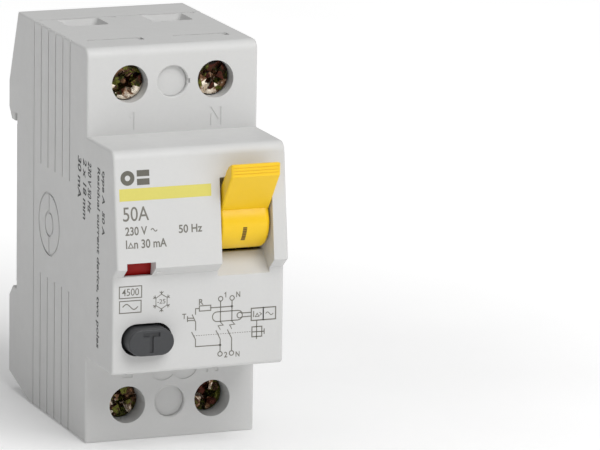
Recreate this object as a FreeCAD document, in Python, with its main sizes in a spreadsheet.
import FreeCAD, Part
import math
import os
import re
import Sketcher

# Two-pole residual current device for a 35 mm top-hat rail. Millimetres.
# Frame: X across the two modules, the front faces -Y, +Z up. The origin is the centre of the face
# that rests on the rail.

DIMENSIONS = {
    # casing
    "body_width": 36.0,
    "body_height": 80.2,
    "nose_height": 45.0,
    "shoulder_depth": 44.0,
    "nose_depth": 60.0,
    "panel_top_depth": 59.6,
    "panel_foot_depth": 62.6,
    "panel_foot_z": -0.7,
    "step_foot_z": -2.75,
    "parting_depth": 11.2,
    "wall": 1.6,
    "base_floor": 3.0,
    "lower_floor": 4.5,
    "front_round": 2.0,
    "lower_round": 0.8,
    "edge_round": 0.5,
    "base_edge_round": 0.4,
    "seam_width": 0.4,
    "seam_depth": 0.3,
    # how far a cutting tool runs past the face that it cuts
    "past": 1.0,
    # sunk grooves and signs
    "groove_pitch": 4.46,
    "groove_width": 0.5,
    "groove_depth": 0.35,
    "groove_upper_z": 11.45,
    "groove_lower_z": -11.3,
    "emblem_y": -21.0,
    "emblem_radius": 6.6,
    "emblem_core_radius": 2.7,
    "emblem_line": 0.5,
    "emblem_depth": 0.3,
    "mark_depth": 0.14,
    "ring_mark_radius": 2.9,
    "ring_mark_line": 0.6,
    "ring_mark_z": -25.5,
    "slit_y": -35.0,
    "slit_width": 0.6,
    "slit_depth": 1.2,
    "slit_length": 11.5,
    "slit_left_x": -15.0,
    "slit_right_x": 3.1,
    "slit_pocket": 2.0,
    "notch_width": 1.0,
    # rail seat
    "rail_recess_top": 17.6,
    "rail_recess_foot": -17.9,
    "seat_relief": 0.15,
    "seat_margin_top": 0.8,
    "seat_margin_foot": 1.4,
    "rail_groove": 1.4,
    "hook_reach": 5.0,
    "hook_top_z": 25.0,
    "foot_reach": 4.6,
    "foot_corner_z": -36.5,
    "foot_chamfer_depth": 8.4,
    # toggle
    "pivot_y": -55.4,
    "pivot_z": 6.3,
    "drum_radius": 5.6,
    "handle_x": 9.6,
    "handle_width": 10.3,
    "handle_round": 0.45,
    "drum_round": 1.1,
    "lever_tip_y": -66.0,
    "lever_bend_z": 17.2,
    "lever_tip_z": 19.75,
    "grip_pitch": 0.62,
    "grip_width": 0.16,
    "grip_depth": 0.1,
    "hub_radius": 3.0,
    "crank_left": 1.4,
    "crank_right": 3.2,
    "crank_half_width": 1.6,
    "slot_left_x": 4.0,
    "slot_right_x": 14.95,
    "slot_top_z": 16.2,
    "slot_left_wall": 3.2,
    "slot_right_wall": 15.65,
    "lintel_height": 1.2,
    "cheek_margin": 0.8,
    "cheek_back_y": -50.5,
    "shield_foot_z": 12.8,
    "shield_y": -56.6,
    "ramp_top_depth": 55.6,
    "ramp_top_z": -0.05,
    "ramp_foot_z": -3.8,
    "pin_radius": 1.25,
    "running_gap": 0.05,
    # terminals
    "pole_x": 9.05,
    "upper_terminal_z": 32.65,
    "lower_terminal_z": -32.9,
    "centre_web": 3.95,
    "chamber_far_x": 16.2,
    "chamber_inner": 1.7,
    "chamber_outer": 1.8,
    "chamber_wall": 1.5,
    "screw_well_radius": 3.8,
    "screw_head_radius": 3.6,
    "screw_head_thick": 2.45,
    "upper_head_depth": 41.6,
    "lower_head_depth": 39.6,
    "screw_head_round": 0.55,
    "screw_slot_width": 1.1,
    "screw_slot_depth": 1.0,
    "recess_radius": 2.5,
    "recess_depth": 2.0,
    "recess_arm": 1.4,
    # how far each screw has been turned, in degrees
    "upper_left_turn": 33.0,
    "upper_right_turn": 57.0,
    "lower_left_turn": 20.0,
    "lower_right_turn": 82.0,
    "thread_radius": 2.5,
    "strip_front": -21.9,
    "strip_back": -20.4,
    "strip_width": 6.0,
    "bar_end_z": 38.0,
    "cage_width": 9.6,
    "cage_front": -24.5,
    "cage_back": -8.6,
    "cage_length": 9.0,
    "cage_round": 0.9,
    "cage_side": 1.4,
    "cage_roof": 2.2,
    "cage_floor": 1.8,
    "mouth_y": -15.3,
    "throat_width": 7.0,
    "throat_height": 6.6,
    "flare_width": 8.8,
    "flare_height": 8.0,
    "flare_depth": 1.5,
    "mouth_round": 1.2,
    # case screws under their plugs
    "case_screw_radius": 1.5,
    "case_screw_head_radius": 2.7,
    "case_screw_seat": 40.4,
    "case_screw_head": 42.1,
    "plug_radius": 3.1,
    "plug_front": 42.9,
    "plug_back": 42.2,
    "plug_lip": 0.25,
    # contacts
    "carrier_y": -41.2,
    "carrier_z": -3.7,
    "carrier_radius": 3.6,
    "carrier_half_length": 13.6,
    "axle_boss_radius": 3.0,
    "axle_boss_x": 14.2,
    "socket_half_width": 3.2,
    "blade_width": 4.0,
    "blade_thick": 1.2,
    "blade_front": 2.6,
    "contact_z": 10.5,
    "contact_radius": 1.8,
    "bar_thick": 1.5,
    # linkage
    "link_wire": 0.7,
    "link_bend": 0.9,
    "link_end_x": 4.2,
    "crank_angle": 50.0,
    "crank_length": 4.0,
    "arm_length": 12.0,
    "arm_angle": 14.8,
    "plate_left_x": -1.8,
    "plate_thick": 0.9,
    "plate_right_x": 15.75,
    "plate_right_thick": 0.6,
    "spacer_radius": 1.0,
    "spacer_end_radius": 0.7,
    # transformer
    "toroid_y": -20.0,
    "toroid_inner": 5.9,
    "toroid_outer": 10.9,
    "toroid_foot_z": -16.4,
    "toroid_top_z": -8.6,
    "winding_thick": 0.85,
    "winding_gap": 4.4,
    "conductor_radius": 1.3,
    "conductor_bend": 2.0,
    # relay and trip lever
    "trip_pivot_y": -53.5,
    "trip_pivot_z": -10.6,
    "trip_pin_radius": 0.8,
    "trip_left": 6.0,
    "trip_right": 9.0,
    "trip_reach": 7.7,
    "plunger_x": 7.5,
    "plunger_y": -50.0,
    "plunger_radius": 1.22,
    "relay_foot_z": -20.7,
    "relay_top_z": -13.9,
    # test button and its circuit
    "button_x": -10.8,
    "button_z": -15.6,
    "button_length": 9.5,
    "button_height": 5.4,
    "button_face_depth": 63.0,
    "button_round": 0.35,
    "button_stop_y": -55.7,
    "button_stop_thick": 1.2,
    "button_stem_radius": 1.5,
    "button_rib_y": -48.0,
    "button_rib_thick": 1.2,
    "letter_sink": 0.35,
    "letter_width": 3.5,
    "letter_height": 4.0,
    "letter_bar": 0.8,
    "letter_stem": 0.74,
    "recess_length": 10.7,
    "recess_height": 6.5,
    "strip_y": -44.1,
    "strip_foot_z": -20.8,
    "resistor_x": -4.2,
    "resistor_z": -16.5,
    # position flag
    "flag_pivot_y": -52.9,
    "flag_pivot_z": -0.5,
    "flag_radius": 6.4,
    "flag_left": -15.4,
    "flag_right": -9.6,
    "flag_pin_radius": 0.8,
    "window_left": -15.9,
    "window_right": -9.9,
    "window_top_z": 0.5,
    "window_foot_z": -2.6,
    "window_collar_y": -59.6,
    # rail clip
    "clip_half_width": 5.5,
    "clip_runner_half_width": 6.8,
    "clip_gap": 0.3,
    "clip_top_z": -16.8,
    "clip_foot_z": -39.8,
    "clip_front": -0.2,
    "clip_spring_foot_z": -33.95,
    "clip_spring_top_z": -24.05,
    # springs
    "spring_wire": 0.25,
}

doc = FreeCAD.newDocument("ResidualCurrentDevice")
sheet = doc.addObject("Spreadsheet::Sheet", "Dims")
for row, (alias, size) in enumerate(DIMENSIONS.items(), start=1):
    sheet.set("A%d" % row, alias)
    sheet.set("B%d" % row, str(size))
    sheet.setAlias("B%d" % row, alias)
doc.recompute()

X_AXIS = FreeCAD.Vector(1, 0, 0)
Y_AXIS = FreeCAD.Vector(0, 1, 0)
NODES = {}
# Signs of the coordinates of what is left or right, and up or down.
POLES = {"left": "-", "right": ""}
LEVELS = {"upper": "", "lower": "-"}


def bound(text):
    """Spell an expression for the document: every name in it, apart from functions, is a cell."""
    return re.sub(r"[a-z][a-z_]+\b(?!\()", lambda name: "Dims." + name.group(0), str(text))


def number(text):
    """The present value of an expression."""
    return float(sheet.evalExpression(bound(text)))


def around(middle, width):
    """Low and high limit of a stretch, from its middle and its width."""
    return "%s - (%s) / 2" % (middle, width), "%s + (%s) / 2" % (middle, width)


def mirrored(sign, near, far):
    """Low and high limit of a stretch on the positive side, or its mirror image if sign is a minus."""
    return ("-(%s)" % far, "-(%s)" % near) if sign else (near, far)


def node(name, shape):
    """Register a finished sub-part under its own name."""
    shape.Label = name
    NODES[name] = shape
    return shape


# ---------------------------------------------------------------- building blocks

def box(name, x, y, z):
    """Block between a low and a high limit on each axis."""
    block = doc.addObject("Part::Box", name)
    for side, axis, (low, high) in (("Length", "x", x), ("Width", "y", y), ("Height", "z", z)):
        block.setExpression(side, bound("(%s) - (%s)" % (high, low)))
        block.setExpression("Placement.Base." + axis, bound(low))
    return block


TURN_TO = {
    "x": FreeCAD.Rotation(Y_AXIS, 90),
    "y": FreeCAD.Rotation(X_AXIS, -90),
    "z": FreeCAD.Rotation(),
}


def set_on_axis(solid, axis, low, centre):
    """Turn a solid from Z to an axis and put its start at a place."""
    solid.Placement = FreeCAD.Placement(FreeCAD.Vector(), TURN_TO[axis])
    solid.setExpression("Placement.Base." + axis, bound(low))
    for other, place in zip([letter for letter in "xyz" if letter != axis], centre):
        solid.setExpression("Placement.Base." + other, bound(place))
    return solid


def rod(name, axis, radius, low, high, centre):
    """Cylinder along an axis between two limits; centre gives the other two coordinates in order."""
    cylinder = doc.addObject("Part::Cylinder", name)
    cylinder.setExpression("Radius", bound(radius))
    cylinder.setExpression("Height", bound("(%s) - (%s)" % (high, low)))
    return set_on_axis(cylinder, axis, low, centre)


def taper(name, axis, low_radius, high_radius, low, high, centre):
    """Cone along an axis, with a radius at each of its two limits."""
    cone = doc.addObject("Part::Cone", name)
    cone.setExpression("Radius1", bound(low_radius))
    cone.setExpression("Radius2", bound(high_radius))
    cone.setExpression("Height", bound("(%s) - (%s)" % (high, low)))
    return set_on_axis(cone, axis, low, centre)


def fuse(name, *pieces):
    """Join pieces into one."""
    joined = doc.addObject("Part::MultiFuse", name)
    joined.Shapes = list(pieces)
    return joined


def common(name, *pieces):
    """What all the pieces share."""
    shared = doc.addObject("Part::MultiCommon", name)
    shared.Shapes = list(pieces)
    return shared


def cut(name, base, *tools):
    """Take every tool away from the base."""
    result = doc.addObject("Part::Cut", name)
    result.Base = base
    result.Tool = fuse(name + "_tools", *tools) if len(tools) > 1 else tools[0]
    return result


# The plane of an outline, by the axis that it is pushed along. XZ_Plane faces -Y.
SKETCH_PLANES = {"x": ("YZ_Plane", 1), "y": ("XZ_Plane", -1), "z": ("XY_Plane", 1)}


def prism(name, axis, low, high, outline):
    """Straight-sided outline, each point a pair of expressions, pushed along an axis."""
    body = doc.addObject("PartDesign::Body", name)
    sketch = body.newObject("Sketcher::SketchObject", name + "_outline")
    role, sense = SKETCH_PLANES[axis]
    plane = [feature for feature in body.Origin.OriginFeatures if feature.Role == role][0]
    sketch.AttachmentSupport = [(plane, "")]
    sketch.MapMode = "FlatFace"
    start = low if sense > 0 else "-(%s)" % high
    sketch.setExpression("AttachmentOffset.Base.z", bound(start))
    corners = [(number(a), number(b)) for a, b in outline]
    for index, corner in enumerate(corners):
        following = corners[(index + 1) % len(corners)]
        first = FreeCAD.Vector(corner[0], corner[1], 0)
        second = FreeCAD.Vector(following[0], following[1], 0)
        sketch.addGeometry(Part.LineSegment(first, second), False)
    for index in range(len(corners)):
        sketch.addConstraint(Sketcher.Constraint("Coincident", index, 2, (index + 1) % len(corners), 1))
    for index, point in enumerate(outline):
        for way, text, value in zip(("DistanceX", "DistanceY"), point, corners[index]):
            made = sketch.addConstraint(Sketcher.Constraint(way, -1, 1, index, 1, value))
            sketch.setExpression("Constraints[%d]" % made, bound(text))
    pad = body.newObject("PartDesign::Pad", name + "_pad")
    pad.Profile = sketch
    pad.setExpression("Length", bound("(%s) - (%s)" % (high, low)))
    return body


def round_body(body, radius, wanted):
    """Round the edges of a body that the test wants."""
    doc.recompute()
    tip = body.Tip
    names = ["Edge%d" % (i + 1) for i, edge in enumerate(tip.Shape.Edges) if wanted(edge)]
    rounding = body.newObject("PartDesign::Fillet", body.Name + "_round")
    rounding.Base = (tip, names)
    rounding.setExpression("Radius", bound(radius))
    doc.recompute()
    return body


def round_edges(name, base, radius, wanted):
    """Round the edges of a part that the test wants."""
    doc.recompute()
    rounding = doc.addObject("Part::Fillet", name)
    rounding.Base = base
    size = number(radius)
    rounding.Edges = [(i + 1, size, size) for i, edge in enumerate(base.Shape.Edges) if wanted(edge)]
    return rounding


def along(axis):
    """Test for straight edges that run along an axis."""
    direction = {"x": X_AXIS, "y": Y_AXIS, "z": FreeCAD.Vector(0, 0, 1)}[axis]

    def test(edge):
        run = edge.Vertexes[-1].Point - edge.Vertexes[0].Point
        return run.Length > 0.01 and abs(abs(run.dot(direction)) - run.Length) < 1e-6
    return test


def through(edge, place, value, tolerance=0.01):
    """True when the whole edge lies at one value of a coordinate."""
    box_of = edge.BoundBox
    low, high = {"x": (box_of.XMin, box_of.XMax), "y": (box_of.YMin, box_of.YMax),
                 "z": (box_of.ZMin, box_of.ZMax)}[place]
    return abs(low - value) < tolerance and abs(high - value) < tolerance


def stadium(name, low, high, centre_x, centre_z, length, height):
    """Round-ended block along Y."""
    half = "(%s) / 2" % height
    reach = "((%s) - (%s)) / 2" % (length, height)
    middle = box(name + "_middle", around(centre_x, "(%s) - (%s)" % (length, height)), (low, high),
                 around(centre_z, height))
    left = rod(name + "_left", "y", half, low, high, ("%s - %s" % (centre_x, reach), centre_z))
    right = rod(name + "_right", "y", half, low, high, ("%s + %s" % (centre_x, reach), centre_z))
    return fuse(name, middle, left, right)


def coil(name, axis, radius, pitch, low, high, centre):
    """Spring of round wire along an axis, its wire kept between two limits."""
    spine = doc.addObject("Part::Helix", name + "_spine")
    spine.setExpression("Radius", bound(radius))
    spine.setExpression("Pitch", bound(pitch))
    spine.setExpression("Height", bound("(%s) - (%s) - 2 * spring_wire" % (high, low)))
    section = doc.addObject("Part::Circle", name + "_section")
    section.Placement = FreeCAD.Placement(FreeCAD.Vector(), FreeCAD.Rotation(X_AXIS, 90))
    section.setExpression("Radius", bound("spring_wire"))
    section.setExpression("Placement.Base.x", bound(radius))
    spring = doc.addObject("Part::Sweep", name)
    spring.Sections = [section]
    spring.Spine = (spine, ["Edge1"])
    spring.Solid = True
    spring.Frenet = True
    return set_on_axis(spring, axis, "(%s) + spring_wire" % low, centre)


def bent_wire(name, radius, bend, points):
    """Round wire along straight runs joined by tangent arcs, as one solid."""
    corners = [FreeCAD.Vector(*[number(value) for value in point]) for point in points]
    edges = []
    start = corners[0]
    for before, corner, after in zip(corners, corners[1:], corners[2:]):
        inward = (before - corner).normalize()
        outward = (after - corner).normalize()
        half_turn = (math.pi - inward.getAngle(outward)) / 2
        setback = number(bend) * math.tan(half_turn)
        first = corner + inward * setback
        last = corner + outward * setback
        bisector = (inward + outward).normalize()
        middle = corner + bisector * (number(bend) / math.cos(half_turn) - number(bend))
        edges.append(Part.LineSegment(start, first).toShape())
        edges.append(Part.Arc(first, middle, last).toShape())
        start = last
    edges.append(Part.LineSegment(start, corners[-1]).toShape())
    way = (corners[1] - corners[0]).normalize()
    section = Part.Wire([Part.Circle(corners[0], way, number(radius)).toShape()])
    wire = doc.addObject("Part::Feature", name)
    wire.Shape = Part.Wire(edges).makePipeShell([section], True, False)
    return wire


def hoop(name, axis, radius, line, low, high, centre):
    """Thin-walled tube: what sinks a ring into a face."""
    outer = rod(name + "_outer", axis, radius, low, high, centre)
    inner = rod(name + "_inner", axis, "(%s) - (%s)" % (radius, line), low, high, centre)
    return cut(name, outer, inner)


def side_faces(depth):
    """Where a tool sinks into the right and the left side, as limits in X."""
    edge = "body_width / 2"
    return (("right", ("%s - %s" % (edge, depth), "%s + past" % edge)),
            ("left", ("-%s - past" % edge, "-%s + %s" % (edge, depth))))


# ---------------------------------------------------------------- casing

GROOVES = 5


def side_grooves(start, foot):
    """Shallow grooves across both sides, in front of the parting line."""
    grooves = []
    for step in range(1, GROOVES + 1):
        place = "-parting_depth - %d * groove_pitch" % step
        for side, reach in side_faces("groove_depth"):
            grooves.append(box("groove_%s_%d" % (side, step), reach, around(place, "groove_width"),
                               (start, foot)))
    return grooves


def parting_groove():
    """Fine seam where the two halves meet, on every outer face."""
    across = around("-parting_depth", "seam_width")
    outer = box("seam_outer", around("0", "body_width + 2 * past"), across,
                around("0", "body_height + 2 * past"))
    inner = box("seam_inner", around("0", "body_width - 2 * seam_depth"), across,
                around("0", "body_height - 2 * seam_depth"))
    return cut("seam", outer, inner)


def emblem_sunk():
    """Generic sign sunk in both sides: a slim ring crossed by a bar, as a transformer is drawn."""
    pieces = []
    centre = ("emblem_y", "0")
    bar = ("emblem_core_radius - emblem_line / 2", "emblem_radius - emblem_line / 2")
    for side, reach in side_faces("emblem_depth"):
        pieces.append(hoop("emblem_ring_" + side, "x", "emblem_radius", "emblem_line", *reach, centre))
        pieces.append(hoop("emblem_core_" + side, "x", "emblem_core_radius", "emblem_line", *reach, centre))
        for part, sign in (("upper", ""), ("lower", "-")):
            pieces.append(box("emblem_bar_%s_%s" % (part, side), reach, around("emblem_y", "emblem_line"),
                              mirrored(sign, *bar)))
    return pieces


def cover_shell():
    """Outside of the cover as a block: shoulders, nose and raised panel, with its edges rounded."""
    shell = prism("cover_shell", "x", "-body_width / 2", "body_width / 2", [
        ("-parting_depth", "body_height / 2"),
        ("-shoulder_depth", "body_height / 2"),
        ("-shoulder_depth", "nose_height / 2"),
        ("-panel_top_depth", "nose_height / 2"),
        ("-panel_foot_depth", "panel_foot_z"),
        ("-nose_depth", "step_foot_z"),
        ("-nose_depth", "-nose_height / 2"),
        ("-shoulder_depth", "-nose_height / 2"),
        ("-shoulder_depth", "-body_height / 2"),
        ("-parting_depth", "-body_height / 2"),
    ])
    across = along("x")

    def on_corner(edge, depth, height):
        return across(edge) and through(edge, "y", number(depth)) and through(edge, "z", number(height))

    round_body(shell, "front_round", lambda edge: on_corner(edge, "-shoulder_depth", "body_height / 2")
               or on_corner(edge, "-panel_top_depth", "nose_height / 2"))
    round_body(shell, "lower_round", lambda edge: on_corner(edge, "-nose_depth", "-nose_height / 2"))
    return round_body(shell, "edge_round", side_rim)


def side_rim(edge):
    """True for the edges of the two sides, apart from where the halves meet."""
    side = number("body_width / 2")
    on_side = through(edge, "x", side) or through(edge, "x", -side)
    return on_side and not through(edge, "y", number("-parting_depth"))


def cover_inner_walls():
    """What stands inside the hollow cover: walls of the slot, collars, ribs and bosses."""
    slot_roof = "slot_top_z + lintel_height"
    across = ("slot_left_wall", "slot_right_wall")
    walls = [
        box("ramp_block", across, ("-nose_depth + 0.2", "-ramp_top_depth + 1"),
            ("ramp_foot_z - wall", "ramp_top_z")),
        prism("left_cheek", "x", "slot_left_wall", "slot_left_x + 0.2", cheek_outline("-nose_depth + 1.3")),
        prism("right_cheek", "x", "slot_right_x", "slot_right_wall", cheek_outline("cheek_back_y")),
        box("slot_lintel", across, ("-nose_depth + 1", "shield_y"), ("slot_top_z", slot_roof)),
        box("slot_shield", across, ("shield_y - 0.9", "shield_y"), ("shield_foot_z", slot_roof)),
        stadium("button_collar", "-nose_depth + 0.5", "-56", "button_x", "button_z",
                "recess_length + 1.2", "recess_height + 2"),
        box("button_rib", around("button_x", "9"), ("button_rib_y", "button_rib_y + button_rib_thick"),
            ("-nose_height / 2 + 1", "button_z + 4.5")),
        box("flag_rib", ("flag_right + 0.4", "flag_right + 1.4"), ("-nose_depth - 1.2", "flag_pivot_y + 1.6"),
            around("flag_pivot_z", "3.2")),
        box("window_collar", ("-body_width / 2 + wall - 0.1", "window_right + 0.6"),
            ("-panel_foot_depth + wall - 0.3", "window_collar_y"),
            ("panel_foot_z - 0.9", "window_top_z + 0.8")),
    ]
    for side, sign in POLES.items():
        walls.append(rod("axle_boss_" + side, "x", "axle_boss_radius",
                         *mirrored(sign, "axle_boss_x", "body_width / 2 - 1"), ("carrier_y", "carrier_z")))
    return walls


def cheek_outline(back):
    """Side view of a wall beside the slot: its front edge lies within the thickness of the panel."""
    slope = "(panel_foot_depth - panel_top_depth) / (nose_height / 2 - panel_foot_z)"
    roof = "slot_top_z + lintel_height"
    return [(back, roof), (back, "ramp_foot_z"),
            ("-nose_depth + cheek_margin", "ramp_foot_z"),
            ("-nose_depth + cheek_margin", "step_foot_z"),
            ("-panel_foot_depth + cheek_margin", "panel_foot_z"),
            ("-panel_foot_depth + cheek_margin + (%s - panel_foot_z) * %s" % (roof, slope), roof)]


def cover_front_openings():
    """Slot of the toggle with the ramp under it, window of the flag, recess of the button, bores."""
    slope = "(ramp_top_z - ramp_foot_z) / (nose_depth - ramp_top_depth)"
    slot = prism("toggle_slot", "x", "slot_left_x", "slot_right_x", [
        ("-nose_depth - 6", "slot_top_z"),
        ("-ramp_top_depth", "slot_top_z"),
        ("-ramp_top_depth", "ramp_top_z"),
        ("-nose_depth - 6", "ramp_foot_z - 6 * %s" % slope),
    ])
    return [
        cut("toggle_slot_below_shield", slot,
            box("shield_kept", ("slot_left_wall - past", "slot_right_wall + past"),
                ("shield_y - 0.9", "shield_y + 2 * past"), ("shield_foot_z", "slot_top_z + past"))),
        box("flag_window", ("window_left", "window_right"), ("-panel_foot_depth - 2", "-57"),
            ("window_foot_z", "window_top_z")),
        stadium("button_recess", "-nose_depth - 2", "-55", "button_x", "button_z", "recess_length",
                "recess_height"),
        rod("button_stem_hole", "y", "button_stem_radius + 0.4", "button_rib_y - past",
            "button_rib_y + button_rib_thick + past", ("button_x", "button_z")),
        rod("axle_bore", "x", "pin_radius + running_gap", "-chamber_far_x - 0.2", "chamber_far_x + 0.2",
            ("carrier_y", "carrier_z")),
        rod("cheek_pin_hole", "x", "pin_radius + running_gap", "slot_right_x - 0.1",
            "slot_right_wall + 0.05", ("pivot_y", "pivot_z")),
        rod("flag_clearance", "x", "flag_radius + 0.25", "flag_left - 0.3", "flag_right + 0.2",
            ("flag_pivot_y", "flag_pivot_z")),
        rod("flag_bore", "x", "flag_pin_radius + running_gap", "-chamber_far_x - 0.7", "flag_right + 1.6",
            ("flag_pivot_y", "flag_pivot_z")),
    ]


def cover_terminal_openings():
    """Terminal chambers with their screw wells, cable mouths and passages for the bars."""
    tools = []
    inner_wall = "nose_height / 2 + chamber_inner"
    outer_wall = "body_height / 2 - chamber_outer"
    for level, up in LEVELS.items():
        centre_z = level + "_terminal_z"
        seat = "-%s_head_depth + screw_head_thick + 0.05" % level
        chamber_front = "%s + chamber_wall" % seat
        chamber_z = mirrored(up, inner_wall, outer_wall)
        passage_z = mirrored(up, "nose_height / 2 - wall - 0.5", "nose_height / 2 + 2")
        for side, sign in POLES.items():
            name = "%s_%s" % (level, side)
            centre_x = sign + "pole_x"
            centre = (centre_x, centre_z)
            tools.append(box("chamber_" + name, mirrored(sign, "centre_web", "chamber_far_x"),
                             (chamber_front, "-parting_depth + past"), chamber_z))
            tools.append(rod("screw_well_" + name, "y", "screw_well_radius", "-shoulder_depth - past", seat,
                             centre))
            tools.append(rod("screw_hole_" + name, "y", "thread_radius + 0.3", "%s - 0.5" % seat,
                             "%s + past" % chamber_front, centre))
            tools.append(box("passage_" + name, around(centre_x, "strip_width + 0.8"),
                             ("strip_front - 1.1", "strip_back + 1.4"), passage_z))
            tools.append(cable_mouth("mouth_" + name, centre_x, up))
        middle = ("0", centre_z)
        tools.append(rod("plug_seat_" + level, "y", "plug_radius + running_gap", "-shoulder_depth - past",
                         "-case_screw_seat", middle))
        tools.append(taper("plug_lip_" + level, "y", "plug_radius + 2 * plug_lip", "plug_radius",
                           "-shoulder_depth - plug_lip", "-shoulder_depth + plug_lip", middle))
        tools.append(rod("case_screw_bore_" + level, "y", "case_screw_radius + 0.1",
                         "-case_screw_seat - past", "-parting_depth + past", middle))
    tools.append(box("plug_notch", ("plug_radius - 0.3", "plug_radius + 0.55"),
                     ("-shoulder_depth - past", "-shoulder_depth + 0.5"), around("upper_terminal_z", "0.9")))
    return tools


def build_front_cover():
    inner = "nose_height / 2 - wall"
    cavity = prism("cover_cavity", "x", *around("0", "body_width - 2 * wall"), [
        ("-parting_depth + past", inner),
        ("-panel_top_depth + wall", inner),
        ("-panel_foot_depth + wall", "panel_foot_z + 0.3"),
        ("-nose_depth + wall", "step_foot_z + 0.35"),
        ("-nose_depth + wall", "-(%s)" % inner),
        ("-parting_depth + past", "-(%s)" % inner),
    ])
    hollow = cut("cover_hollow", cover_shell(), cavity)
    solid = fuse("cover_solid", hollow, *cover_inner_walls())
    tools = [parting_groove()]
    tools += side_grooves("groove_upper_z", "body_height / 2 + past")
    tools += side_grooves("-body_height / 2 - past", "groove_lower_z")
    tools += emblem_sunk()
    tools += cover_front_openings()
    tools += cover_terminal_openings()
    tools += label_slits()
    tools += engraved_marks()
    node("front_cover", cut("cover_finished", solid, *tools))


def cable_mouth(name, centre_x, up):
    """Funnel for a cable, with rounded corners, from the end face down into the terminal chamber."""
    throat = box(name + "_throat", around(centre_x, "throat_width"), around("mouth_y", "throat_height"),
                 mirrored(up, "body_height / 2 - 2.5", "body_height / 2 + 0.5"))
    throat = round_edges(name + "_throat_round", throat, "mouth_round", along("z"))
    flare = doc.addObject("Part::Wedge", name + "_flare")
    for limit, way, half in (("min", -1, "throat"), ("max", 1, "throat"),
                             ("2min", -1, "flare"), ("2max", 1, "flare")):
        flare.setExpression("X" + limit, bound("%d * %s_width / 2" % (way, half)))
        flare.setExpression("Z" + limit, bound("%d * %s_height / 2" % (way, half)))
    flare.Ymin = 0
    flare.setExpression("Ymax", bound("flare_depth"))
    flare.Placement = FreeCAD.Placement(FreeCAD.Vector(), FreeCAD.Rotation(X_AXIS, -90 if up else 90))
    flare.setExpression("Placement.Base.x", bound(centre_x))
    flare.setExpression("Placement.Base.y", bound("mouth_y"))
    flare.setExpression("Placement.Base.z", bound("%s(body_height / 2 - flare_depth + 0.05)" % up))
    flare_round = round_edges(name + "_flare_round", flare, "mouth_round",
                              lambda edge: edge.BoundBox.ZLength > 1.0)
    return fuse(name, throat, flare_round)


def label_slits():
    """Narrow slits for marking tags across the end faces, each with a small square pocket."""
    tools = []
    for level, up in LEVELS.items():
        reach = mirrored(up, "body_height / 2 - slit_depth", "body_height / 2 + past")
        for index, left in enumerate(("slit_left_x", "slit_right_x")):
            right = "%s + slit_length" % left
            tools.append(box("slit_%s_%d" % (level, index), (left, right), around("slit_y", "slit_width"),
                             reach))
            tools.append(box("slit_pocket_%s_%d" % (level, index), ("%s - slit_depth" % right, right),
                             ("slit_y - slit_pocket", "slit_y"), reach))
        for index, centre in enumerate(("-1.3", "15.7")):
            tools.append(box("pry_notch_%s_%d" % (level, index), around(centre, "notch_width"),
                             ("-parting_depth - notch_width", "-parting_depth + past"), reach))
    return tools


def letter_n(left, foot, wide, tall):
    """Outline of a capital N."""
    stroke = "0.2 * %s" % wide
    right = "%s + %s" % (left, wide)
    top = "%s + %s" % (foot, tall)
    return [(left, foot), (left, top), ("%s + 1.1 * %s" % (left, stroke), top),
            ("%s - %s" % (right, stroke), "%s + 0.34 * %s" % (foot, tall)),
            ("%s - %s" % (right, stroke), top), (right, top), (right, foot),
            ("%s - 1.1 * %s" % (right, stroke), foot),
            ("%s + %s" % (left, stroke), "%s + 0.66 * %s" % (foot, tall)),
            ("%s + %s" % (left, stroke), foot)]


def figure_one(left, foot, wide, tall):
    """Outline of a figure 1."""
    right = "%s + %s" % (left, wide)
    top = "%s + %s" % (foot, tall)
    return [("%s - 0.5" % right, foot), ("%s - 0.5" % right, "%s - 0.9" % top),
            (left, "%s - 1.2" % top), (left, "%s - 0.7" % top), ("%s - 0.4" % right, top),
            (right, top), (right, foot)]


def figure_two(left, foot, wide, tall):
    """Outline of a figure 2."""
    right = "%s + %s" % (left, wide)
    top = "%s + %s" % (foot, tall)
    return [(left, foot), (right, foot), (right, "%s + 0.5" % foot),
            ("%s + 0.75" % left, "%s + 0.5" % foot), (right, "%s - 1.5" % top),
            (right, "%s - 0.6" % top), ("%s - 0.5" % right, top), ("%s + 0.5" % left, top),
            (left, "%s - 0.5" % top), (left, "%s - 1.1" % top), ("%s + 0.5" % left, "%s - 1.1" % top),
            ("%s + 0.6" % left, "%s - 0.55" % top), ("%s - 0.6" % right, "%s - 0.55" % top),
            ("%s - 0.5" % right, "%s - 1.3" % top), (left, "%s + 0.6" % foot)]


def engraved_marks():
    """Terminal marks sunk into the shoulders, 1 and N above, 2 and N below, and two linked rings."""
    low = "-shoulder_depth - past"
    high = "-shoulder_depth + mark_depth"
    marks = (("mark_one", figure_one("-9.2", "23.3", "1.1", "3.6")),
             ("mark_n_upper", letter_n("7.65", "23.2", "2.65", "3.8")),
             ("mark_two", figure_two("-10.2", "-27.3", "2.2", "3.6")),
             ("mark_n_lower", letter_n("7.65", "-27.3", "2.65", "3.8")))
    sunk = [prism(name, "y", low, high, outline) for name, outline in marks]
    for index, centre_x in enumerate(("-1.6", "3.0")):
        sunk.append(hoop("ring_mark_%d" % index, "y", "ring_mark_radius", "ring_mark_line", low, high,
                         (centre_x, "ring_mark_z")))
    return sunk


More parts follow.
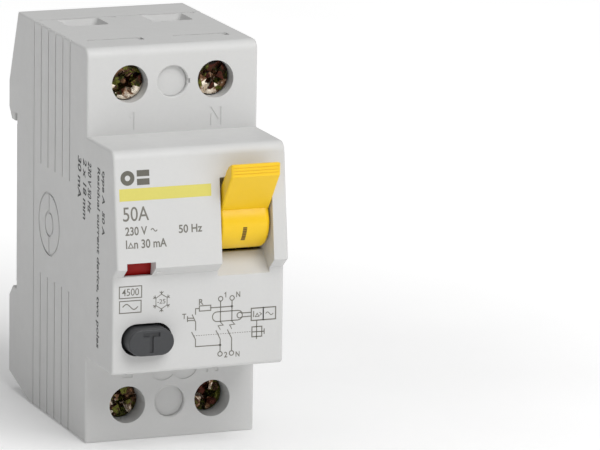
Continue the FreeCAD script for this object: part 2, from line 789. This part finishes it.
def build_rear_base():
    lip_top = "rail_recess_top + 1.1"
    lip_foot = "rail_recess_top - 0.6"
    seat_top = "rail_recess_top - seat_margin_top"
    seat_foot = "rail_recess_foot + seat_margin_foot"
    shell = prism("base_shell", "x", "-body_width / 2", "body_width / 2", [
        ("-parting_depth", "body_height / 2"),
        ("-0.7", "body_height / 2"),
        ("hook_reach", "hook_top_z"),
        ("hook_reach", "rail_recess_top + 1.8"),
        ("3.2", lip_foot),
        ("rail_groove", lip_foot),
        ("rail_groove", lip_top),
        ("-seat_relief", lip_top),
        ("-seat_relief", seat_top),
        ("0", seat_top),
        ("0", seat_foot),
        ("-seat_relief", seat_foot),
        ("-seat_relief", "rail_recess_foot"),
        ("2.4", "rail_recess_foot"),
        ("foot_reach", "rail_recess_foot - 2.2"),
        ("foot_reach", "foot_corner_z"),
        ("-foot_chamfer_depth", "-body_height / 2"),
        ("-parting_depth", "-body_height / 2"),
    ])
    round_body(shell, "base_edge_round", side_rim)

    open_face = "-parting_depth - past"
    tools = [parting_groove()]
    tools.append(box("base_cavity_middle", around("0", "body_width - 2 * wall"), (open_face, "-base_floor"),
                     around("0", "nose_height - 2 * wall")))
    for side, sign in POLES.items():
        across = mirrored(sign, "centre_web", "chamber_far_x")
        tools.append(box("base_cavity_upper_" + side, across, (open_face, "-base_floor"),
                         ("nose_height / 2 + chamber_inner", "body_height / 2 - chamber_outer")))
        tools.append(box("base_cavity_lower_" + side, across, (open_face, "-lower_floor"),
                         ("-body_height / 2 + 2.5", "-nose_height / 2 - chamber_inner")))
    for level in LEVELS:
        tools.append(rod("base_screw_hole_" + level, "y", "case_screw_radius + 0.02", open_face, "-3.6",
                         ("0", level + "_terminal_z")))
    # Channel for the rail clip: a wide groove for its runners under a narrower mouth.
    channel_foot = "-body_height / 2 - past"
    tools.append(box("clip_mouth", around("0", "2 * clip_half_width + 2 * clip_gap"),
                     ("clip_front - clip_gap", "foot_reach + past"),
                     (channel_foot, "rail_recess_foot + 0.1")))
    tools.append(box("clip_groove", around("0", "2 * clip_runner_half_width + 2 * clip_gap"),
                     ("clip_front - clip_gap", "rail_groove + clip_gap"), (channel_foot, "-19.6")))
    peg = box("spring_peg", around("0", "3.8"), ("-0.8", "3.2"), ("-35.4", "clip_spring_foot_z - 0.05"))
    node("rear_base", fuse("base_with_peg", cut("base_hollow", shell, *tools), peg))


def build_case_fasteners():
    screws = []
    plugs = []
    slot_floor = "-case_screw_head + 0.9"
    for level in LEVELS:
        centre = ("0", level + "_terminal_z")
        head = rod("case_screw_head_" + level, "y", "case_screw_head_radius", "-case_screw_head",
                   "-case_screw_seat", centre)
        shank = rod("case_screw_shank_" + level, "y", "case_screw_radius", "-case_screw_seat - 0.5", "-4",
                    centre)
        slots = [box("case_screw_slot_" + level, around("0", "4"), ("-case_screw_head - past", slot_floor),
                     around(centre[1], "0.7")),
                 box("case_screw_cross_" + level, around("0", "0.7"), ("-case_screw_head - past", slot_floor),
                     around(centre[1], "4"))]
        screws.append(cut("case_screw_" + level, fuse("case_screw_blank_" + level, head, shank), *slots))
        plugs.append(rod("screw_plug_" + level, "y", "plug_radius", "-plug_front", "-plug_back", centre))
    node("case_screws", fuse("case_screw_pair", *screws))
    node("screw_plugs", fuse("screw_plug_pair", *plugs))


# ---------------------------------------------------------------- rail clip

def build_rail_clip():
    plate = prism("clip_plate", "x", "-clip_half_width", "clip_half_width", [
        ("clip_front", "clip_foot_z"),
        ("2.6", "clip_foot_z"),
        ("2.6", "clip_foot_z + 3"),
        ("4.0", "clip_foot_z + 3.8"),
        ("4.0", "clip_top_z - 1.8"),
        ("2.4", "clip_top_z"),
        ("rail_groove", "clip_top_z"),
        ("rail_groove", "rail_recess_foot"),
        ("clip_front", "rail_recess_foot - 0.2"),
    ])
    runners = box("clip_runners", around("0", "2 * clip_runner_half_width"), ("clip_front", "rail_groove"),
                  ("clip_foot_z + 3.8", "clip_top_z - 3.2"))
    through_plate = ("clip_front - past", "foot_reach + past")
    spring_slot = box("clip_spring_slot", around("0", "4.4"), through_plate,
                      ("clip_foot_z + 4.1", "clip_spring_top_z + 0.05"))
    tool_slot = box("clip_tool_slot", around("0", "5.2"), through_plate,
                    ("clip_foot_z + 0.8", "clip_foot_z + 2.4"))
    node("din_clip", cut("clip_finished", fuse("clip_blank", plate, runners), spring_slot, tool_slot))
    node("din_clip_spring", coil("clip_coil", "z", "1.45", "1.3", "clip_spring_foot_z", "clip_spring_top_z",
                                 ("0", "1.5")))


# ---------------------------------------------------------------- toggle and linkage

def lever_outline():
    """Side view of the lever when on: straight underside, upright ridged tip, curved top."""
    return [("pivot_y - 1.6", "pivot_z - 0.9"),
            ("lever_tip_y", "lever_bend_z"),
            ("lever_tip_y", "lever_tip_z"),
            ("lever_tip_y + 0.8", "lever_tip_z - 0.05"),
            ("lever_tip_y + 2.0", "lever_tip_z - 0.6"),
            ("lever_tip_y + 3.1", "lever_tip_z - 1.5"),
            ("lever_tip_y + 3.9", "lever_tip_z - 2.6"),
            ("pivot_y - 0.9", "pivot_z + 3.6"),
            ("pivot_y + 1.0", "pivot_z + 1.5")]


def build_toggle():
    left, right = around("handle_x", "handle_width")
    centre = ("pivot_y", "pivot_z")
    drum = rod("handle_drum", "x", "drum_radius", left, right, centre)
    lever = prism("handle_lever", "x", left, right, lever_outline())
    side_low = number(left)
    side_high = number(right)
    drum = round_edges("drum_left_softened", drum, "handle_round",
                       lambda edge: through(edge, "x", side_low))
    drum = round_edges("drum_softened", drum, "drum_round", lambda edge: through(edge, "x", side_high))
    lever = round_edges("lever_softened", lever, "handle_round",
                        lambda edge: through(edge, "x", side_low) or through(edge, "x", side_high))
    hub = rod("handle_hub", "x", "hub_radius", "crank_left", "%s + 1" % left, centre)
    crank = prism("handle_crank", "x", "crank_left", "crank_right", crank_outline())
    crank_end = rod("handle_crank_end", "x", "crank_half_width", "crank_left", "crank_right", crank_pin())
    tools = [rod("handle_bore", "x", "pin_radius + running_gap", "0", "slot_right_wall", centre),
             rod("crank_bore", "x", "link_wire + 0.08", "crank_left - past", "crank_right + past",
                 crank_pin())]
    for step in range(3):
        ridge = "lever_bend_z + grip_pitch * %d" % (step + 1)
        tools.append(box("grip_groove_%d" % step, around("handle_x", "handle_width + past"),
                         ("lever_tip_y - past", "lever_tip_y + grip_depth"), around(ridge, "grip_width")))
    # The drum is cored out from behind, between its two cheeks.
    tools.append(box("drum_core", around("handle_x", "handle_width - 2 * wall"),
                     ("pivot_y + pin_radius + 1.2", "pivot_y + drum_radius + past"),
                     around("pivot_z", "7.2")))
    node("toggle_handle", cut("handle_finished",
                              fuse("handle_solid", drum, lever, hub, crank, crank_end), *tools))


def crank_pin():
    """Where the link rod hooks into the handle: opposite the lever, behind the pivot."""
    return ("pivot_y + crank_length * cos(crank_angle)", "pivot_z - crank_length * sin(crank_angle)")

def crank_outline():
    """Straight web from the hub to the crank pin."""
    pin_y, pin_z = crank_pin()
    aside = "crank_half_width * sin(crank_angle)"
    above = "crank_half_width * cos(crank_angle)"
    return [("pivot_y - %s" % aside, "pivot_z - %s" % above),
            ("%s - %s" % (pin_y, aside), "%s - %s" % (pin_z, above)),
            ("%s + %s" % (pin_y, aside), "%s + %s" % (pin_z, above)),
            ("pivot_y + %s" % aside, "pivot_z + %s" % above)]


def on_arm(reach, rise):
    """Point at a distance along the drive arm of the contact carrier and a height across it."""
    return ("carrier_y - (%s) * cos(arm_angle) + (%s) * sin(arm_angle)" % (reach, rise),
            "carrier_z - (%s) * sin(arm_angle) - (%s) * cos(arm_angle)" % (reach, rise))


def build_linkage():
    node("handle_pin", rod("handle_pin_rod", "x", "pin_radius", "plate_left_x - 4.8",
                           "slot_right_wall + 0.65", ("pivot_y", "pivot_z")))
    upper_y, upper_z = crank_pin()
    lower_y, lower_z = on_arm("arm_length", "0")
    node("link_rod", bent_wire("link_wire_rod", "link_wire", "link_bend", [
        ("link_end_x", upper_y, upper_z), ("0", upper_y, upper_z),
        ("0", lower_y, lower_z), ("link_end_x", lower_y, lower_z)]))
    node("handle_spring", coil("handle_coil", "x", "2.0", "1.3", "plate_left_x - 4.2", "plate_left_x - 0.4",
                               ("pivot_y", "pivot_z")))


def build_mechanism_frame():
    outline = [("-58.0", "-12.4"), ("-58.0", "13.0"), ("-55.0", "slot_top_z"), ("-46.2", "slot_top_z"),
               ("-46.2", "-2.0"), ("-50.0", "-6.0"), ("-50.0", "-12.4")]
    left_end = "plate_left_x - 0.4"
    right_end = "plate_right_x + plate_right_thick"
    for side, low, high in (("left", "plate_left_x", "plate_left_x + plate_thick"),
                            ("right", "plate_right_x", right_end)):
        plate = prism("plate_blank_" + side, "x", low, high, outline)
        reach = ("%s - past" % low, "%s + past" % high)
        holes = [rod("plate_pin_hole_" + side, "x", "pin_radius + 0.02", *reach, ("pivot_y", "pivot_z")),
                 rod("plate_trip_hole_" + side, "x", "trip_pin_radius + 0.02", *reach,
                     ("trip_pivot_y", "trip_pivot_z"))]
        for index, place in enumerate(SPACER_PLACES):
            holes.append(rod("plate_spacer_hole_%s_%d" % (side, index), "x", "spacer_end_radius + 0.02",
                             *reach, place))
        node("frame_plate_" + side, cut("plate_" + side, plate, *holes))
    rods = []
    for index, place in enumerate(SPACER_PLACES):
        rods.append(rod("spacer_waist_%d" % index, "x", "spacer_radius", "plate_left_x + plate_thick",
                        "plate_right_x", place))
        rods.append(rod("spacer_ends_%d" % index, "x", "spacer_end_radius", left_end, right_end, place))
    node("frame_spacers", fuse("frame_spacer_pair", *rods))


# The two rods that hold the frame plates apart.
SPACER_PLACES = (("-49.2", "15.0"), ("-57.0", "-10.4"))


# ---------------------------------------------------------------- contacts

def build_contact_carrier():
    centre = ("carrier_y", "carrier_z")
    pieces = [rod("carrier_shaft", "x", "carrier_radius", "-carrier_half_length", "carrier_half_length",
                  centre)]
    tools = [rod("carrier_bore", "x", "pin_radius + running_gap", "-carrier_half_length - past",
                 "carrier_half_length + past", centre)]
    for side, sign in POLES.items():
        middle = sign + "pole_x"
        pieces.append(box("blade_socket_" + side, around(middle, "2 * socket_half_width"),
                          around("carrier_y", "6.6"), ("carrier_z - 3.4", "carrier_z + 4.6")))
        tools.append(box("blade_slot_" + side, around(middle, "blade_width"), blade_depth(),
                         around("carrier_z", "16")))
    arm = [("0", "2.1"), ("12.9", "2.1"), ("13.9", "1.0"), ("13.9", "-1.0"), ("12.9", "-2.1"), ("0", "-2.1")]
    slot = [("9.0", "1.15"), ("12.9", "1.15"), ("12.9", "-1.15"), ("9.0", "-1.15")]
    pieces.append(prism("drive_arm", "x", "crank_left", "crank_right", [on_arm(*point) for point in arm]))
    tools.append(prism("drive_slot", "x", "crank_left - past", "crank_right + past",
                       [on_arm(*point) for point in slot]))
    node("contact_carrier", cut("carrier_finished", fuse("carrier_blank", *pieces), *tools))
    node("carrier_axle", rod("carrier_axle_rod", "x", "pin_radius", "-chamber_far_x - 0.1",
                             "chamber_far_x + 0.1", centre))


def blade_depth():
    """Front and back of the contact blades."""
    return "carrier_y - blade_front", "carrier_y - blade_front + blade_thick"


def build_contacts():
    springs = []
    bar_front = "carrier_y - 6.3"
    bar_foot = "nose_height / 2 - 4.3"
    bar_top = "%s + bar_thick" % bar_foot
    for side, sign in POLES.items():
        middle = sign + "pole_x"
        on_pole = (middle, "contact_z")
        blade = box("blade_" + side, around(middle, "blade_width"), blade_depth(),
                    ("carrier_z - 4.6", "contact_z + 3"))
        rivet = rod("moving_rivet_" + side, "y", "contact_radius", "carrier_y - 3.5", "carrier_y - 2",
                    on_pole)
        node("moving_contact_" + side, fuse("moving_contact_solid_" + side, blade, rivet))
        springs.append(box("contact_leaf_" + side, around(middle, "2.4"), around("carrier_y - 1.25", "0.3"),
                           ("carrier_z + 4.6", "contact_z + 2")))
        wide = around(middle, "strip_width")
        bars = [
            box("upper_bar_" + side, wide, ("strip_front", "strip_back"), (bar_foot, "bar_end_z")),
            box("upper_bridge_" + side, wide, (bar_front, "strip_back"), (bar_foot, bar_top)),
            box("upper_front_" + side, wide, (bar_front, "carrier_y - 4.9"), ("contact_z - 2.5", bar_top)),
            rod("fixed_rivet_" + side, "y", "contact_radius", "carrier_y - 5.4", "carrier_y - 3.55", on_pole),
        ]
        node("fixed_contact_" + side, fuse("fixed_contact_solid_" + side, *bars))
        node("outgoing_strip_" + side, box("lower_bar_" + side, wide, ("strip_front", "strip_back"),
                                           ("-bar_end_z", "-nose_height / 2 - 0.1")))
    node("contact_springs", fuse("contact_spring_pair", *springs))


# ---------------------------------------------------------------- terminals

def turned_bar(name, centre, turn, length, width, depth):
    """Bar along a screw's face, turned about the screw by an angle."""
    along_x, along_z = "%s / 2 * cos(%s)" % (length, turn), "%s / 2 * sin(%s)" % (length, turn)
    aside_x, aside_z = "%s / 2 * sin(%s)" % (width, turn), "%s / 2 * cos(%s)" % (width, turn)
    corners = (("+", "-", "+", "+"), ("+", "+", "+", "-"), ("-", "+", "-", "-"), ("-", "-", "-", "+"))
    return prism(name, "y", *depth, [
        ("%s %s %s %s %s" % (centre[0], forth_x, along_x, out_x, aside_x),
         "%s %s %s %s %s" % (centre[1], forth_z, along_z, out_z, aside_z))
        for forth_x, out_x, forth_z, out_z in corners])


def terminal_screw(name, level, centre):
    """Screw with a slot and a tapered cross in its head."""
    front = "-%s_head_depth" % level
    head = rod("head_" + name, "y", "screw_head_radius", front, "%s + screw_head_thick" % front, centre)
    shank = rod("shank_" + name, "y", "thread_radius", "%s + screw_head_thick - 0.5" % front,
                "strip_front - 0.1", centre)
    front_place = number(front)
    blank = round_edges("screw_soft_" + name, fuse("screw_blank_" + name, head, shank), "screw_head_round",
                        lambda edge: through(edge, "y", front_place))
    sunk = ("%s - past" % front, "%s + recess_depth" % front)
    turn = name + "_turn"
    slot = turned_bar("screw_slot_" + name, centre, turn, "(2 * screw_head_radius + past)",
                      "screw_slot_width", (sunk[0], "%s + screw_slot_depth" % front))
    cone = taper("screw_cone_" + name, "y", "recess_radius + 0.9", "recess_arm / 2", *sunk, centre)
    arms = [turned_bar("screw_arm_along_" + name, centre, turn, "(2 * recess_radius)", "recess_arm", sunk),
            turned_bar("screw_arm_aside_" + name, centre, turn, "recess_arm", "(2 * recess_radius)", sunk)]
    cross = common("screw_cross_" + name, cone, fuse("screw_arms_" + name, *arms))
    return cut("screw_" + name, blank, slot, cross)


def terminal_cage(name, centre):
    """Cage that rises on its screw and clamps the conductor against the bar."""
    centre_x, centre_z = centre
    outer = box("cage_outer_" + name, around(centre_x, "cage_width"), ("cage_front", "cage_back"),
                around(centre_z, "cage_length"))
    outer = round_edges("cage_round_" + name, outer, "cage_round", along("z"))
    window = box("cage_window_" + name, around(centre_x, "cage_width - 2 * cage_side"),
                 ("cage_front + cage_roof", "cage_back - cage_floor"), around(centre_z, "2 * cage_length"))
    thread = rod("cage_thread_" + name, "y", "thread_radius + running_gap", "cage_front - past",
                 "cage_front + cage_roof + past", centre)
    return cut("cage_" + name, outer, window, thread)


def build_terminals():
    for level in LEVELS:
        for side, sign in POLES.items():
            name = "%s_%s" % (level, side)
            centre = (sign + "pole_x", level + "_terminal_z")
            node("terminal_screw_" + name, terminal_screw(name, level, centre))
            node("terminal_cage_" + name, terminal_cage(name, centre))


# ---------------------------------------------------------------- transformer, relay and test circuit

def build_transformer():
    centre = ("0", "toroid_y")
    limits = ("toroid_foot_z", "toroid_top_z")
    beyond = ("toroid_foot_z - past", "toroid_top_z + past")
    outer = rod("winding_outer", "z", "toroid_outer", *limits, centre)
    hole = rod("winding_hole", "z", "toroid_inner", *beyond, centre)
    inside = ("toroid_foot_z + winding_thick", "toroid_top_z - winding_thick")
    channel = cut("winding_channel",
                  rod("winding_channel_outer", "z", "toroid_outer - winding_thick", *inside, centre),
                  rod("winding_channel_inner", "z", "toroid_inner + winding_thick", *limits, centre))
    gap = box("winding_gap", around("0", "winding_gap"), ("toroid_y - toroid_outer - past", "toroid_y - 2"),
              beyond)
    node("secondary_winding", cut("winding", outer, hole, channel, gap))
    core_outer = rod("core_outer", "z", "toroid_outer - winding_thick - running_gap",
                     "toroid_foot_z + winding_thick + running_gap",
                     "toroid_top_z - winding_thick - running_gap", centre)
    core_hole = rod("core_hole", "z", "toroid_inner + winding_thick + running_gap", *limits, centre)
    node("toroid_core", cut("core", core_outer, core_hole))
    for side, sign in POLES.items():
        pole = sign + "pole_x"
        middle = sign + "2.4"
        node("primary_conductor_" + side, bent_wire("conductor_" + side, "conductor_radius",
                                                    "conductor_bend", [
            (pole, "-36.2", "-13.5"), (pole, "-34.6", "-5.6"), (middle, "toroid_y", "-4.9"),
            (middle, "toroid_y", "-18.6"), (pole, "(strip_front + strip_back) / 2", "-18.7"),
            (pole, "(strip_front + strip_back) / 2", "-nose_height / 2 - 0.1")]))


def build_relay():
    case = box("relay_case", ("4.0", "15.6"), ("-56.0", "-42.5"), ("relay_foot_z", "relay_top_z"))
    case = round_edges("relay_rounded", case, "0.6", along("z"))
    plunger = ("plunger_x", "plunger_y")
    bore = rod("relay_bore", "z", "plunger_radius + 0.08", "relay_foot_z + 2.2", "relay_top_z + past",
               plunger)
    node("trip_relay", cut("relay_finished", case, bore))
    stem = rod("plunger_stem", "z", "plunger_radius", "relay_foot_z + 2.7", "relay_top_z + 1.4", plunger)
    tip = rod("plunger_tip", "z", "0.5", "relay_top_z + 1", "trip_pivot_z - 1.1", plunger)
    node("relay_plunger", fuse("plunger_solid", stem, tip))
    pivot = ("trip_pivot_y", "trip_pivot_z")
    boss = rod("trip_boss", "x", "1.6", "trip_left", "trip_right", pivot)
    blade = box("trip_blade", ("trip_left", "trip_right"), ("trip_pivot_y", "trip_pivot_y + trip_reach"),
                around("trip_pivot_z", "1.6"))
    bore = rod("trip_bore", "x", "trip_pin_radius + running_gap", "trip_left - past", "trip_right + past",
               pivot)
    node("trip_lever", cut("trip_lever_finished", fuse("trip_lever_blank", boss, blade), bore))
    node("trip_lever_pin", rod("trip_pin", "x", "trip_pin_radius", "plate_left_x - 0.2",
                               "plate_right_x + 0.55", pivot))


def build_test_button():
    outline = ("button_x", "button_z", "button_length", "button_height")
    stop_back = "button_stop_y + button_stop_thick"
    face = stadium("button_face", "-button_face_depth", "button_stop_y - 0.5", *outline)
    doc.recompute()
    front = -number("button_face_depth")
    face = round_edges("button_soft", face, "button_round", lambda edge: through(edge, "y", front))
    pieces = [
        face,
        stadium("button_neck", "button_stop_y - 0.7", "button_stop_y + 0.2", *outline),
        box("button_stop", around("button_x", "9.2"), ("button_stop_y", stop_back),
            around("button_z", "8.2")),
        rod("button_stem", "y", "button_stem_radius", "%s - 0.5" % stop_back,
            "button_rib_y + button_rib_thick + 0.6", ("button_x", "button_z")),
    ]
    sunk = ("-button_face_depth - past", "-button_face_depth + letter_sink")
    top = "button_z + letter_height / 2"
    letter = [
        box("letter_stem", around("button_x", "letter_stem"), sunk,
            ("button_z - letter_height / 2", "%s - letter_bar / 2" % top)),
        box("letter_bar", around("button_x", "letter_width"), sunk, ("%s - letter_bar" % top, top)),
    ]
    node("test_button", cut("button_finished", fuse("button_blank", *pieces), *letter))
    node("test_button_spring", coil("button_coil", "y", "2.4", "1.2", "%s + 0.05" % stop_back,
                                    "button_rib_y - 0.05", ("button_x", "button_z")))


def build_test_circuit():
    across = around("button_x", "3")
    blade = box("test_blade", across, ("strip_y", "strip_y + 0.5"), ("strip_foot_z", "-12.5"))
    foot = box("test_foot", across, ("strip_y", "strip_y + 3.6"), ("strip_foot_z", "strip_foot_z + 0.5"))
    node("test_contact_strip", fuse("test_contact_solid", blade, foot))
    place = ("resistor_x", "resistor_z")
    barrel = rod("resistor_barrel", "y", "1.6", "-52.0", "-45.0", place)
    lead = rod("resistor_lead", "y", "0.3", "-54.5", "-42.5", place)
    node("test_resistor", fuse("resistor_solid", barrel, lead))


# ---------------------------------------------------------------- position flag

def flag_sector(name, first, last):
    """Piece of the flag's rim between two angles, measured up from the front."""
    pivot = ("flag_pivot_y", "flag_pivot_z")
    rim = rod(name + "_rim", "x", "flag_radius", "flag_left", "flag_right", pivot)
    inner = rod(name + "_inner", "x", "flag_radius - 1.2", "flag_left + 1", "flag_right + past", pivot)
    points = [pivot]
    for step in range(4):
        angle = first + (last - first) * step / 3.0
        points.append(("flag_pivot_y - 2.4 * flag_radius * cos(%.3f)" % angle,
                       "flag_pivot_z + 2.4 * flag_radius * sin(%.3f)" % angle))
    wedge = prism(name + "_wedge", "x", "flag_left - past", "flag_right + past", points)
    return common(name + "_sector", cut(name + "_ring", rim, inner), wedge)


def build_flag():
    pivot = ("flag_pivot_y", "flag_pivot_z")
    hub_radius = "flag_pin_radius + 1"
    red = flag_sector("flag_red", -38.0, 33.0)
    hub = rod("flag_hub", "x", hub_radius, "flag_left", "flag_right", pivot)
    beyond = ("flag_left - past", "flag_right + past")
    bore = rod("flag_hub_bore", "x", "flag_pin_radius + running_gap", *beyond, pivot)
    node("position_flag", cut("flag_finished", fuse("flag_blank", red, hub), bore))
    hub_clear = rod("flag_hub_clear", "x", "%s + running_gap" % hub_radius, *beyond, pivot)
    node("flag_green_face", cut("flag_green_finished", flag_sector("flag_green", 33.3, 104.0), hub_clear))
    node("flag_pin", rod("flag_pin_rod", "x", "flag_pin_radius", "-chamber_far_x - 0.6", "flag_right + 1.3",
                         pivot))


# ---------------------------------------------------------------- build and write

build_rear_base()
build_front_cover()
build_case_fasteners()
build_rail_clip()
build_toggle()
build_linkage()
build_mechanism_frame()
build_contact_carrier()
build_contacts()
build_terminals()
build_transformer()
build_relay()
build_test_button()
build_test_circuit()
build_flag()
doc.recompute()

for item in doc.Objects:
    if "Invalid" in item.State or "Error" in item.State:
        raise RuntimeError("%s (%s) did not build" % (item.Name, item.Label))
os.makedirs("parts", exist_ok=True)
for old in os.listdir("parts"):
    if old.endswith(".step"):
        os.remove(os.path.join("parts", old))
for name, piece in NODES.items():
    if piece.Shape.isNull() or not piece.Shape.isValid() or not piece.Shape.Solids:
        raise RuntimeError("%s is not a valid solid" % name)
    piece.Shape.exportStep(os.path.join("parts", name + ".step"))
    print("%-28s %d solid(s) %9.1f mm3" % (name, len(piece.Shape.Solids), piece.Shape.Volume))
